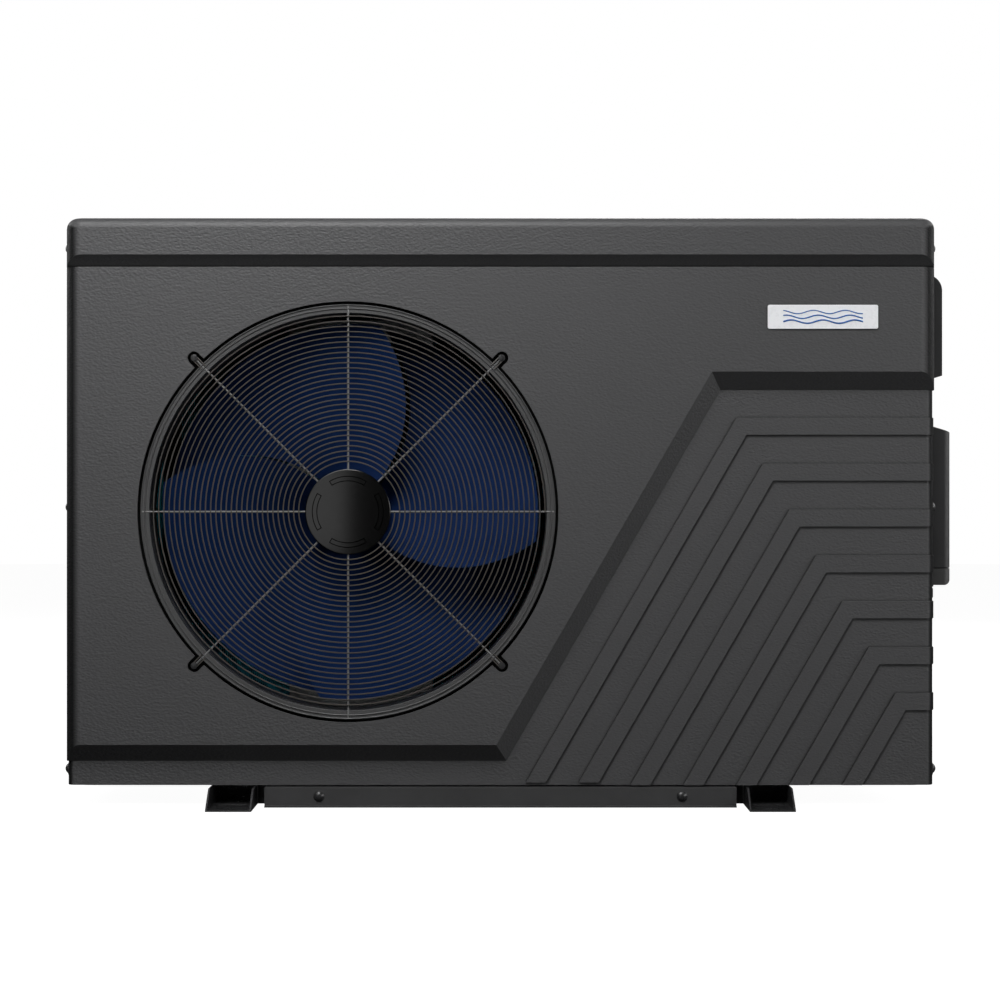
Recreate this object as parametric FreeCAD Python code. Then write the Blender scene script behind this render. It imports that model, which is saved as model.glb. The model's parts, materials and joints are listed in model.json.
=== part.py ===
import FreeCAD, Part
import math
import os

# Pool heat pump in a moulded casing. Millimetres, +Z up, the fan's front faces -Y.
# Origin: on the ground, at the centre of the four mounting slots in the feet.

V = FreeCAD.Vector
X_AXIS = V(1, 0, 0)
Y_AXIS = V(0, 1, 0)
Z_AXIS = V(0, 0, 1)

# Casing
WIDTH = 960.0
HEIGHT = 650.0
DEPTH = 350.0
HALF_W = WIDTH / 2
FRONT = -DEPTH / 2
BACK = DEPTH / 2
WALL = 3.0
SLIVER = 1e-6
CORNER_R = 19.0
PANEL_BOTTOM = 24.0
PANEL_TOP = 595.0
FRONT_SPLIT = -95.0
COVER_BOTTOM = 596.0
COVER_LIP = 608.6
COVER_EDGE_R = 12.0
LIP_DEPTH = 12.0

# Stepped front: the field right of and below the step line lies further back
STEP_DEPTH = 15.0
SIDE_STEP = 0.8
FIELD_CORNER_R = 8.0
STEP_RUN = 19.5
STEP_X = 232.0
STEP_Z = 480.0
STEP_LOW_Z = 70.2
STEP_ANGLE = math.radians(60)
RIB_COUNT = 7
RIB_FIRST = 50.0
RIB_PITCH = 50.7
RIB_WIDTH = 18.8
RIB_HEIGHT = 2.4
SHORT_RIBS = 2
SHORT_RIB_GAP = 3.0
MOUTH_SETBACK = 8.0

# Badge on the raised field
BADGE_X = (293.2, 414.3)
BADGE_Z = (526.7, 553.1)
BADGE_THICK = 1.6

# Fan, guard and motor
FAN_X = -167.5
FAN_Z = 326.0
HOLE_R = 231.2
RIM_R = 228.2
RIM_INNER_R = 218.5
EAR_RADIUS = 5.5
EAR_CENTRE_R = 239.0
EAR_GAP = 1.6
SEAT_OUTER_R = 250.0
SEAT_INNER_R = 219.0
SEAT_FRONT = FRONT + 9.0
SEAT_BACK = FRONT + 15.0
SEAT_RIM_DEPTH = 12.0
THROAT_END = -134.0
GUARD_SETBACK = 0.6
GUARD_PITCH = 5.7
GUARD_RINGS = 30
GUARD_WIRE = 1.9
GUARD_SPOKES = 8
SPOKE_WIDTH = 3.2
SPOKE_THICK = 3.0
EAR_HOLE_R = 2.2
CAP_R = 47.0
CAP_THICK = 3.8
CAP_EDGE_R = 1.2
CAP_CROWN = 1.3
CAP_SLOT_R = (34.0, 39.0)
CAP_SLOT_ANGLE = 31.0
CAP_LINE = 0.9
CAP_LINE_DEPTH = 0.9
BLADE_COUNT = 4
BLADE_TIP_R = 209.5
BLADE_START = 46.6
BLADE_SWEEP = 34.4
BLADE_CURL = 1.3
BLADE_SPAN = 89.0
BLADE_FRONT = -149.0
BLADE_BACK = -91.0
BLADE_BOW = 4.0
BLADE_THICK = 2.6
BLADE_RINGS = 5
BLADE_STEPS = 6
HUB_R = 44.0
HUB_FRONT = -152.0
HUB_BACK = -84.0
SHAFT_R = 6.0
SHAFT_FIT = 0.05
SHAFT_IN = 40.0
NUT_CORNER_R = 9.5
MOTOR_R = 55.0
MOTOR_FRONT = -74.0
MOTOR_BACK = 12.0
ARM_THICK = 4.0
ARM_HALF = 22.0
RAIL_OFFSET = 76.0
RAIL_WIDTH = 20.0
RAIL_DEPTH = 18.0
RAIL_Z = (24.5, 590.0)
CROSS_HEIGHT = 26.0
CROSS_Z = (90.0, 530.0)
SHEET = 1.5

# Screws
HEAD_R = 6.0
HEAD_HEIGHT = 4.2
REAR_HEAD_HEIGHT = 3.4
SHANK_R = 2.0
HOLE_GAP = 0.1
SIDE_SCREW_Y = -146.0
SIDE_SCREW_Z = (40.6, 331.3)
COVER_SCREW_Z = 618.7
REAR_SCREW_Z = (42.0, 582.0)
REAR_SCREW_X = (-464.0, 106.0, 130.0, 450.0)
REAR_SIDE_Y = 150.0

# Feet and base
FOOT_LENGTH = 392.0
FOOT_INNER = 271.0
FOOT_WIDTH = 50.0
FOOT_HEIGHT = 22.0
FOOT_PLATE = 2.0
SLOT_INSET = 33.0
SLOT_LENGTH = 34.0
SLOT_WIDTH = 10.0
PIN_HOLE_INSET = 11.5
PIN_HOLE_R = 2.75
FOOT_CUT = 22.0
BEAM_SETBACK = 7.0
BEAM_HALF = 260.0
BEAM_SHEET = 2.0
BEAM_DEPTH = 28.0
BEAM_LIP = 2.0
BEAM_HEAD_HEIGHT = 3.2
BEAM_SHANK_R = 2.5
BEAM_Z = (0.5, 22.0)
BEAM_SCREW_X = 200.0
BEAM_SCREW_Z = 12.5
PAN_X = 472.0
PAN_Y = (-148.0, 168.0)
PAN_TOP = 54.0
PAN_CORNER_R = 14.0
DRAIN_R = 8.0
DRAIN_LENGTH = 14.0

# Air slots and cut-outs of the casing's other panels
SPLIT_GAP = 0.4
SIDE_RETURN = 34.0
REAR_SPLIT_X = 118.0
GRILLE_BAR = 7.0
GRILLE_Z = (60.0, 562.0)
GRILLE_ROWS = 22
SIDE_GRILLE_Y = (-72.0, 140.0)
SIDE_GRILLE_COLUMNS = 3
REAR_GRILLE_X = (-428.0, 100.0)
REAR_GRILLE_COLUMNS = 7
VENT_X = (150.0, 300.0)
VENT_Z = (465.0, 555.0)
VENT_ROWS = 6
CABLE_WAY_Y = (-60.0, -20.0)
CABLE_WAY_Z = (285.0, 315.0)

# Evaporator, round the left side and the back
COIL_THICK = 40.0
COIL_LEFT = -462.0
COIL_RIGHT = 100.0
COIL_FRONT = -88.0
COIL_BACK = 165.0
COIL_BOTTOM = 30.0
COIL_TOP = 588.0
COIL_CORNER_R = 60.0
BEND_ROWS = 11
BEND_PITCH = 25.0
BEND_DEPTHS = (12.0, 28.0)
BEND_TUBE_R = 4.0
HEADER_R = 8.0
HEADER_Z = (70.0, 540.0)

# Right compartment
FLOOR_Z = 24.0
PARTITION_X = 90.0
PARTITION_Y = (-146.0, 122.0)
PARTITION_Z = (24.5, 593.0)
PARTITION_HOLES = (V(0, -40, 540), V(0, 90, 120))
PARTITION_HOLE_R = 14.0
COMPRESSOR = V(205, -50, 0)
COMPRESSOR_R = 65.0
COMPRESSOR_BASE = 46.0
COMPRESSOR_TOP = 335.0
COMPRESSOR_PLATE = 4.0
DISCHARGE_X = 34.0
STUD_RING_R = COMPRESSOR_R + 14
STUD_R = 4.0
GROMMET_R = 14.0
LUG_R = 17.0
ACCUMULATOR = V(128, 25, 0)
ACCUMULATOR_R = 30.0
ACCUMULATOR_Z = (60.0, 262.0)
VALVE_Z = 400.0
VALVE_HALF = 55.0
VALVE_R = 14.0
EXPANSION = V(200, 110, 200)
EXCHANGER = V(375, 55, 0)
EXCHANGER_R = 80.0
EXCHANGER_Z = (62.0, 442.0)
BAND_Z = (84.0, 250.0)
BAND_HEIGHT = 16.0
SPIGOT_R = 26.0
SPIGOT_END = 152.0
STAND_R = (60.0, 64.0, 76.0)
STAND_TOP = 63.6
FLOW_SWITCH_Z = 330.0
UNION_Z = (130.0, 390.0)
PIPE_R = 5.0
THIN_PIPE_R = 4.0
PIPE_GAP = 0.3

# Wiring compartment above the compressor
ELECTRIC_X = (110.0, 450.0)
ELECTRIC_Y = (-140.0, 60.0)
ELECTRIC_Z = (472.0, 586.0)
BOARD_X = (130.0, 400.0)
BOARD_Y = (-120.0, 40.0)
BOARD_Z = (480.0, 481.8)
BOARD_INSET = 10.0
SINK_X = (120.0, 202.0)
SINK_Y = (-135.0, -100.0)
SINK_Z = (446.0, 466.0, 471.8)
SINK_FINS = 9

# Water unions for 50 mm solvent-welded pipe
SOCKET_R = 25.1
SOCKET_DEPTH = 34.0
TAIL_R = 29.2
THREAD_R = 37.0
UNION_BORE_R = 21.0
THREAD_GAP = 0.4
FLANGE_R = 46.0
FLANGE_THICK = 6.0
PORT_LENGTH = 25.0
NUT_R = 44.0
NUT_LUGS = 8
NUT_LUG_R = 47.0
NUT_Y = (BACK + 8, BACK + 37)
NUT_LIP = BACK + 30.6
TAIL_END = BACK + 70

# Boxes on the right side
BOX_Y = (-115.0, 5.0)
CONTROL_Z = (475.9, 594.0)
CONTROL_OUT = 19.3
CONTROL_FACE = HALF_W + 7.0
HINGE_X = HALF_W + 15.7
HINGE_Z = 579.5
HOOD_R = 18.0
HOOD_CHAMFER = 4.0
HINGE_BARREL_R = 3.2
HINGE_PIN_R = 1.5
HINGE_HOLE_R = 1.55
FLAP_GAP = 3.6
BUTTON_R = 5.0
BUTTON_GAP = 0.3
BUTTON_RISE = 2.0
BUTTON_PITCH = 29.0
DISPLAY_Y = (-95.0, -15.0)
DISPLAY_Z = (528.0, 568.0)
DISPLAY_THICK = 1.5
TERMINAL_Y = (-115.0, 45.0)
TERMINAL_OUT = 29.3
TERMINAL_Z = (243.1, 262.3, 425.2)
TERMINAL_WALL = 2.5
TERMINAL_CORNER_R = 8.0
TERMINAL_TOP_DROP = 9.0
GLAND = V(HALF_W + 15.5, -35.0, 243.1)
GLAND_R = 9.0
GLAND_FLANGE_R = 12.5
GLAND_BORE_R = 7.0
BLOCK_Y = (-90.0, 20.0)
BLOCK_Z = (330.0, 375.0)
BLOCK_POLES = 6
BLOCK_PITCH = 18.0


def box(x0, x1, y0, y1, z0, z1):
    return Part.makeBox(x1 - x0, y1 - y0, z1 - z0, V(x0, y0, z0))


def rod(start, axis, radius, length):
    return Part.makeCylinder(radius, length, start, axis)


def ring(start, axis, outer, inner, length):
    return rod(start, axis, outer, length).cut(rod(start, axis, inner, length))


def fuse(shapes):
    whole = shapes[0].fuse(shapes[1:]) if len(shapes) > 1 else shapes[0]
    return whole.removeSplitter()


def slab(x0, x1, y0, y1, z0, z1, radius):
    """Upright block whose four vertical edges are rounded."""
    block = box(x0, x1, y0, y1, z0, z1)
    upright = [e for e in block.Edges if abs(e.BoundBox.ZLength - (z1 - z0)) < SLIVER]
    return block.makeFillet(radius, upright)


def polygon(points):
    return Part.makePolygon(points + [points[0]])


def prism_y(outline, y0, y1):
    """Solid from an outline of (x, z) points, drawn out along Y."""
    face = Part.Face(polygon([V(x, y0, z) for x, z in outline]))
    return face.extrude(V(0, y1 - y0, 0))


def turned(profile, centre, axis):
    """Solid of revolution about an axis along Y or Z; profile is (radius, along) points."""
    if axis is Y_AXIS:
        points = [V(centre.x + r, a, centre.z) for r, a in profile]
    else:
        points = [V(centre.x + r, centre.y, a) for r, a in profile]
    return Part.Face(polygon(points)).revolve(centre, axis, 360)


def pipe(points, radius, bend):
    """Tube centre line of straight runs with a tangent arc of the given radius at each corner."""
    corners = [V(*p) for p in points]
    edges = []
    start = corners[0]
    for before, corner, after in zip(corners, corners[1:], corners[2:]):
        into = (before - corner).normalize()
        out = (after - corner).normalize()
        half = into.getAngle(out) / 2
        reach = bend / math.tan(half)
        first = corner + into * reach
        last = corner + out * reach
        bisector = (into + out).normalize()
        middle = corner + bisector * (bend / math.sin(half) - bend)
        edges.append(Part.makeLine(start, first))
        edges.append(Part.Arc(first, middle, last).toShape())
        start = last
    edges.append(Part.makeLine(start, corners[-1]))
    direction = corners[1] - corners[0]
    section = Part.Wire(Part.makeCircle(radius, corners[0], direction))
    return Part.Wire(edges).makePipeShell([section], True, False)


def fan_point(radius, angle, y):
    """Point at a polar place about the fan's axis, angle in degrees from +X."""
    turn = math.radians(angle)
    return V(FAN_X + radius * math.cos(turn), y, FAN_Z + radius * math.sin(turn))


def step_corner(offset, z=STEP_Z):
    """Upper corner of a line that runs parallel to the step, further out by offset."""
    return (STEP_X + offset * math.tan(STEP_ANGLE / 2), z - offset)


def below_corner(corner, z):
    """Where the 60 degree line down-left from a corner reaches height z."""
    return (corner[0] - (corner[1] - z) / math.tan(STEP_ANGLE), z)


def raised_outline(offset):
    reach = WIDTH
    corner = step_corner(offset)
    low = below_corner(corner, STEP_LOW_Z - offset)
    return [
        (-reach, HEIGHT),
        (reach, HEIGHT),
        (reach, corner[1]),
        corner,
        low,
        (-reach, low[1]),
    ]


def raised_zone(offset, front, back):
    """Block that narrows over the sloping step and then runs straight back."""
    near = polygon([V(x, front, z) for x, z in raised_outline(offset)])
    far = polygon([V(x, front + STEP_DEPTH, z) for x, z in raised_outline(offset + STEP_RUN)])
    slope = Part.makeLoft([near, far], True, True)
    straight = prism_y(raised_outline(offset + STEP_RUN), front + STEP_DEPTH, back)
    return slope.fuse(straight)


def rib_band(offset):
    """Outline of one rib: level from the right edge, then down-left to the bottom edge."""
    upper = step_corner(offset)
    lower = step_corner(offset + RIB_WIDTH)
    return [
        (WIDTH, upper[1]),
        upper,
        below_corner(upper, 0),
        below_corner(lower, 0),
        lower,
        (WIDTH, lower[1]),
    ]


def front_block(inset_x, front, z0, z1, radius):
    whole = slab(-HALF_W + inset_x, HALF_W - inset_x, front, BACK, z0, z1, radius)
    return whole.common(box(-WIDTH, WIDTH, front - 1, FRONT_SPLIT, z0, z1))


def at_fan(shape, angle):
    """Turns a shape that lies along +X to an angle about the fan's axis."""
    shape.rotate(V(0, 0, 0), Y_AXIS, -angle)
    shape.translate(V(FAN_X, 0, FAN_Z))
    return shape


def ear_centres(y):
    return [fan_point(EAR_CENTRE_R, 45 + 90 * index, y) for index in range(4)]


def guard_ears(radius, front, back):
    """Four rounded tabs that stand out of the guard's rim on its diagonals."""
    tabs = [rod(spot, Y_AXIS, radius, back - front) for spot in ear_centres(front)]
    for index in range(4):
        bar = box(RIM_R - 6, EAR_CENTRE_R, front, back, -radius, radius)
        tabs.append(at_fan(bar, 45 + 90 * index))
    return tabs


def front_panel():
    raised = front_block(0, FRONT, PANEL_BOTTOM, PANEL_TOP, CORNER_R)
    raised = raised.common(raised_zone(0, FRONT, FRONT_SPLIT))
    field_front = FRONT + STEP_DEPTH
    field = front_block(SIDE_STEP, field_front, PANEL_BOTTOM, PANEL_TOP, FIELD_CORNER_R)
    rib_front = field_front - RIB_HEIGHT
    ribs = []
    for index in range(RIB_COUNT):
        bottom = PANEL_BOTTOM + (SHORT_RIB_GAP if index < SHORT_RIBS else 0)
        rib_block = front_block(0, rib_front, bottom, PANEL_TOP, FIELD_CORNER_R + SIDE_STEP)
        band = prism_y(rib_band(RIB_FIRST + RIB_PITCH * index), FRONT, FRONT_SPLIT)
        ribs.append(rib_block.common(band))
    bosses = [
        rod(
            V(side * (HALF_W - SIDE_STEP - 1), SIDE_SCREW_Y, z),
            X_AXIS * side, HEAD_R + 2, SIDE_STEP + 1,
        )
        for side in (-1, 1) for z in SIDE_SCREW_Z
    ]
    outer = fuse([field, raised] + ribs + bosses)
    low = PANEL_BOTTOM + WALL
    high = PANEL_TOP - WALL
    inner_r = CORNER_R - WALL
    deep = front_block(WALL, FRONT + WALL, low, high, inner_r)
    deep = deep.common(raised_zone(-WALL, FRONT + WALL, FRONT_SPLIT))
    shallow = front_block(SIDE_STEP + WALL, field_front + WALL, low, high, inner_r)
    mouth = front_block(
        SIDE_STEP + WALL, field_front + MOUTH_SETBACK, PANEL_BOTTOM - 1, PANEL_TOP + 1, inner_r
    )
    shell = outer.cut([deep, shallow, mouth])
    centre = fan_point(0, 0, FRONT)
    ring_wall = ring(
        centre + Y_AXIS * WALL, Y_AXIS, SEAT_OUTER_R, SEAT_OUTER_R - WALL, SEAT_RIM_DEPTH
    )
    seat_depth = SEAT_BACK - SEAT_FRONT
    seat = ring(fan_point(0, 0, SEAT_FRONT), Y_AXIS, SEAT_OUTER_R, SEAT_INNER_R, seat_depth)
    hole = [rod(centre - Y_AXIS, Y_AXIS, HOLE_R, WALL + 2)]
    hole += guard_ears(EAR_RADIUS + EAR_GAP, FRONT - 1, FRONT + WALL + 1)
    shell = shell.cut(hole + screw_holes())
    return fuse([shell, ring_wall, seat])


def top_cover():
    block = slab(-HALF_W, HALF_W, FRONT, BACK, COVER_BOTTOM, HEIGHT, CORNER_R)
    top_edges = [e for e in block.Edges if e.BoundBox.ZMin > HEIGHT - SLIVER]
    block = block.makeFillet(COVER_EDGE_R, top_edges)
    hollow = slab(
        -HALF_W + WALL, HALF_W - WALL, FRONT + LIP_DEPTH + 1, BACK - WALL,
        COVER_BOTTOM - 1, HEIGHT - WALL, CORNER_R - WALL,
    )
    hollow_edges = [e for e in hollow.Edges if e.BoundBox.ZMin > HEIGHT - WALL - SLIVER]
    hollow = hollow.makeFillet(COVER_EDGE_R - WALL, hollow_edges)
    end_wall = 1.2
    start = -HALF_W + end_wall
    slope = Part.Face(polygon([
        V(start, FRONT - 1, COVER_LIP),
        V(start, FRONT, COVER_LIP),
        V(start, FRONT + LIP_DEPTH, COVER_BOTTOM),
        V(start, FRONT - 1, COVER_BOTTOM - 1),
    ])).extrude(V(WIDTH - 2 * end_wall, 0, 0))
    front_pocket = box(
        -HALF_W + CORNER_R + 1, HALF_W - CORNER_R - 1, FRONT + WALL, FRONT + LIP_DEPTH + 2,
        COVER_LIP + WALL + 1, HEIGHT - COVER_EDGE_R - 6,
    )
    return block.cut([hollow, slope, front_pocket] + screw_holes())


def casing_shell():
    outer = slab(-HALF_W, HALF_W, FRONT, BACK, PANEL_BOTTOM, PANEL_TOP, CORNER_R)
    inner = slab(
        -HALF_W + WALL, HALF_W - WALL, FRONT + WALL, BACK - WALL,
        PANEL_BOTTOM, PANEL_TOP, CORNER_R - WALL,
    )
    return outer.cut(inner)


def side_slots(across, columns):
    """Air slots through the left side, between two Y positions."""
    return [
        box(-HALF_W - 1, -HALF_W + WALL + 1, a, a + width, z, z + height)
        for a, width, z, height in slot_cells(across, GRILLE_Z, columns, GRILLE_ROWS)
    ]


def rear_slots(across, heights, columns, rows):
    """Air slots through the back, between two X positions."""
    return [
        box(a, a + width, BACK - WALL - 1, BACK + 1, z, z + height)
        for a, width, z, height in slot_cells(across, heights, columns, rows)
    ]


def slot_cells(across, heights, columns, rows):
    """Starts and sizes of a grid of slots with bars of one width between them."""
    step_a = (across[1] - across[0] + GRILLE_BAR) / columns
    step_z = (heights[1] - heights[0] + GRILLE_BAR) / rows
    return [
        (across[0] + column * step_a, step_a - GRILLE_BAR,
         heights[0] + row * step_z, step_z - GRILLE_BAR)
        for column in range(columns) for row in range(rows)
    ]


def left_side_grille():
    side = casing_shell().common(box(
        -WIDTH, -HALF_W + SIDE_RETURN, FRONT_SPLIT + SPLIT_GAP, WIDTH, PANEL_BOTTOM, PANEL_TOP
    ))
    return side.cut(side_slots(SIDE_GRILLE_Y, SIDE_GRILLE_COLUMNS) + screw_holes())


def rear_grille():
    plate = box(
        -HALF_W + SIDE_RETURN + SPLIT_GAP, REAR_SPLIT_X - SPLIT_GAP, BACK - WALL, BACK,
        PANEL_BOTTOM, PANEL_TOP,
    )
    slots = rear_slots(REAR_GRILLE_X, GRILLE_Z, REAR_GRILLE_COLUMNS, GRILLE_ROWS)
    return plate.cut(slots + screw_holes())


def right_side_panel():
    side = casing_shell().common(box(
        REAR_SPLIT_X, WIDTH, FRONT_SPLIT + SPLIT_GAP, WIDTH, PANEL_BOTTOM, PANEL_TOP
    ))
    holes = [
        rod(V(EXCHANGER.x, BACK - WALL - 1, z), Y_AXIS, THREAD_R + 1, WALL + 2) for z in UNION_Z
    ]
    cable_way = box(HALF_W - WALL - 1, HALF_W + 1, *CABLE_WAY_Y, *CABLE_WAY_Z)
    vents = rear_slots(VENT_X, VENT_Z, 1, VENT_ROWS)
    return side.cut(holes + [cable_way] + vents + screw_holes())


def base_pan():
    outer = slab(-PAN_X, PAN_X, *PAN_Y, FOOT_HEIGHT, PAN_TOP, PAN_CORNER_R)
    inner = slab(
        -PAN_X + SHEET, PAN_X - SHEET, PAN_Y[0] + SHEET, PAN_Y[1] - SHEET,
        FLOOR_Z, PAN_TOP + 1, PAN_CORNER_R - SHEET,
    )
    pan = outer.cut(inner)
    drain = V(FAN_X, 60, FLOOR_Z - DRAIN_LENGTH)
    nozzle = ring(drain, Z_AXIS, DRAIN_R + 2, DRAIN_R, DRAIN_LENGTH)
    return fuse([pan.cut(rod(drain, Z_AXIS, DRAIN_R, DRAIN_LENGTH + 1)), nozzle])


def foot(side):
    half = FOOT_LENGTH / 2
    x0 = FOOT_INNER
    x1 = FOOT_INNER + FOOT_WIDTH
    channel = box(x0, x1, -half, half, 0, FOOT_HEIGHT)
    inside = box(x0 + FOOT_PLATE, x1 - FOOT_PLATE, -half, half, FOOT_PLATE, FOOT_HEIGHT)
    cuts = [inside]
    middle = (x0 + x1) / 2
    reach = (SLOT_LENGTH - SLOT_WIDTH) / 2
    over = 5.0
    for end in (-1, 1):
        tip = Part.Face(polygon([
            V(x0 - 1, end * half, FOOT_PLATE),
            V(x0 - 1, end * (half - FOOT_CUT), FOOT_HEIGHT + 0.01),
            V(x0 - 1, end * (half + over), FOOT_HEIGHT + 0.01),
            V(x0 - 1, end * (half + over), FOOT_PLATE),
        ])).extrude(V(FOOT_WIDTH + 2, 0, 0))
        slot_y = end * (half - SLOT_INSET)
        slot = box(
            middle - reach, middle + reach, slot_y - SLOT_WIDTH / 2, slot_y + SLOT_WIDTH / 2,
            -1, FOOT_PLATE + 1,
        )
        cuts += [tip, slot]
        for shift in (-reach, reach):
            cuts.append(rod(V(middle + shift, slot_y, -1), Z_AXIS, SLOT_WIDTH / 2, FOOT_PLATE + 2))
        pin_y = end * (half - PIN_HOLE_INSET)
        cuts.append(rod(V(middle, pin_y, -1), Z_AXIS, PIN_HOLE_R, FOOT_PLATE + 2))
    shape = channel.cut(cuts)
    if side < 0:
        shape = shape.mirror(V(0, 0, 0), X_AXIS)
    return shape


def beam(end):
    """Channel between the feet; end is -1 at the front and 1 at the back.

    Its face stops short of the feet, and a tab at each end turns back and out to meet them.
    """
    face = DEPTH / 2 - BEAM_SETBACK
    z0, z1 = BEAM_Z
    sheet = BEAM_SHEET
    deep = -face + BEAM_DEPTH
    parts = [
        box(-BEAM_HALF, BEAM_HALF, -face, -face + sheet, z0, z1),
        box(-BEAM_HALF, BEAM_HALF, -face, deep, z1 - sheet, z1),
        box(-BEAM_HALF, BEAM_HALF, -face - BEAM_LIP, deep, z0, z0 + sheet),
    ]
    for side in (-1, 1):
        x0, x1 = sorted((side * (BEAM_HALF - sheet), side * BEAM_HALF))
        parts.append(box(x0, x1, -face, deep, z0, z1))
        x0, x1 = sorted((side * (BEAM_HALF - sheet), side * (FOOT_INNER - 0.5)))
        parts.append(box(x0, x1, deep - sheet, deep, z0, z1))
    shape = fuse(parts)
    holes = [
        rod(V(x, -face - 1, BEAM_SCREW_Z), Y_AXIS, BEAM_SHANK_R + HOLE_GAP, sheet + 2)
        for x in (-BEAM_SCREW_X, BEAM_SCREW_X)
    ]
    shape = shape.cut(holes)
    if end > 0:
        shape = shape.mirror(V(0, 0, 0), Y_AXIS)
    return shape


def pan_head(seat, out, head_r, height, shank_r, shank_l):
    """Screw: a domed head that stands out of a surface and a shank that goes in."""
    ball_r = (head_r ** 2 + height ** 2) / (2 * height)
    ball = Part.makeSphere(ball_r, seat + out * (height - ball_r))
    head = ball.common(rod(seat, out, head_r + 1, height + 1))
    shank = rod(seat - out * shank_l, out, shank_r, shank_l)
    return fuse([head, shank])


def beam_screws():
    face = DEPTH / 2 - BEAM_SETBACK
    screws = []
    for end in (-1, 1):
        for x in (-BEAM_SCREW_X, BEAM_SCREW_X):
            seat = V(x, end * face, BEAM_SCREW_Z)
            screws.append(pan_head(seat, Y_AXIS * end, HEAD_R, BEAM_HEAD_HEIGHT, BEAM_SHANK_R, 8))
    return Part.makeCompound(screws)


def casing_screw_seats():
    """Where each casing screw's head rests, which way it points and how tall the head is."""
    seats = []
    for side in (-1, 1):
        out = X_AXIS * side
        for z in SIDE_SCREW_Z + (COVER_SCREW_Z,):
            seats.append((V(side * HALF_W, SIDE_SCREW_Y, z), out, HEAD_HEIGHT))
        for z in REAR_SCREW_Z:
            seats.append((V(side * HALF_W, REAR_SIDE_Y, z), out, REAR_HEAD_HEIGHT))
    for x in REAR_SCREW_X:
        seats += [(V(x, BACK, z), Y_AXIS, REAR_HEAD_HEIGHT) for z in REAR_SCREW_Z]
    return seats


def screw_holes():
    return [
        rod(seat - out * (WALL + 4), out, SHANK_R + HOLE_GAP, WALL + 5)
        for seat, out, _ in casing_screw_seats()
    ]


def casing_screws():
    return Part.makeCompound([
        pan_head(seat, out, HEAD_R, height, SHANK_R, WALL)
        for seat, out, height in casing_screw_seats()
    ])


def fan_guard():
    front = FRONT + GUARD_SETBACK
    centre = fan_point(0, 0, front)
    rim = ring(centre, Y_AXIS, RIM_R, RIM_INNER_R, SEAT_FRONT - front)
    pieces = [rim] + guard_ears(EAR_RADIUS, front, SEAT_FRONT)
    wire_y = front + 0.4
    half = GUARD_WIRE / 2
    for index in range(GUARD_RINGS):
        radius = RIM_INNER_R - GUARD_PITCH * (index + 0.6)
        if radius < CAP_R + 2:
            break
        wire = fan_point(0, 0, wire_y)
        pieces.append(ring(wire, Y_AXIS, radius + half, radius - half, GUARD_WIRE))
    spoke_y = wire_y + 1.5
    for index in range(GUARD_SPOKES):
        spoke = box(
            CAP_R - 8, RIM_INNER_R + 2, spoke_y, spoke_y + SPOKE_THICK,
            -SPOKE_WIDTH / 2, SPOKE_WIDTH / 2,
        )
        pieces.append(at_fan(spoke, index * 360 / GUARD_SPOKES))
    hub_plate = rod(fan_point(0, 0, spoke_y), Y_AXIS, CAP_R - 3, SPOKE_THICK)
    depth = SEAT_FRONT - front + 2
    holes = [rod(spot - Y_AXIS, Y_AXIS, EAR_HOLE_R, depth) for spot in ear_centres(front)]
    return fuse(pieces + [hub_plate]).cut(holes)


def cap_slot(grow):
    """Curved slot shape on the cap's right, larger all round by grow."""
    inner, outer = CAP_SLOT_R
    front = FRONT - CAP_THICK
    band = ring(fan_point(0, 0, front), Y_AXIS, outer + grow, inner - grow, CAP_THICK * 2)
    turn = math.radians(CAP_SLOT_ANGLE)
    near = CAP_R / 2
    far = 2 * CAP_R
    near_half = near * math.tan(turn) + grow / math.cos(turn)
    far_half = far * math.tan(turn) + grow / math.cos(turn)
    wedge = prism_y(
        [
            (FAN_X + near, FAN_Z - near_half), (FAN_X + far, FAN_Z - far_half),
            (FAN_X + far, FAN_Z + far_half), (FAN_X + near, FAN_Z + near_half),
        ],
        front, front + 2 * CAP_THICK,
    )
    return band.common(wedge)


def guard_cap():
    back = FRONT + 2.4
    front = back - CAP_THICK
    ball_r = (CAP_R ** 2 + CAP_CROWN ** 2) / (2 * CAP_CROWN)
    ball = Part.makeSphere(ball_r, fan_point(0, 0, front + ball_r))
    disc = rod(fan_point(0, 0, front), Y_AXIS, CAP_R, CAP_THICK).common(ball)
    edge = [e for e in disc.Edges if e.BoundBox.YMax < front + CAP_CROWN + 0.1]
    disc = disc.makeFillet(CAP_EDGE_R, edge)
    line = cap_slot(CAP_LINE / 2).cut(cap_slot(-CAP_LINE / 2))
    reach = CAP_CROWN + CAP_LINE_DEPTH
    line = line.common(rod(fan_point(0, 0, front - 1), Y_AXIS, CAP_R, reach + 1))
    lines = []
    for index in range(4):
        turned_line = line.copy()
        turned_line.rotate(fan_point(0, 0, 0), Y_AXIS, 90 * index)
        lines.append(turned_line)
    return disc.cut(lines)


def guard_screws():
    return Part.makeCompound([
        pan_head(seat, Y_AXIS * -1, 3.8, 0.5, SHANK_R, 8)
        for seat in ear_centres(FRONT + GUARD_SETBACK)
    ])


def badge_plate():
    plate = box(*BADGE_X, FRONT - BADGE_THICK, FRONT, *BADGE_Z)
    edges = [e for e in plate.Edges if abs(e.BoundBox.YLength - BADGE_THICK) < SLIVER]
    return plate.makeFillet(2.0, edges)


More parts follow.
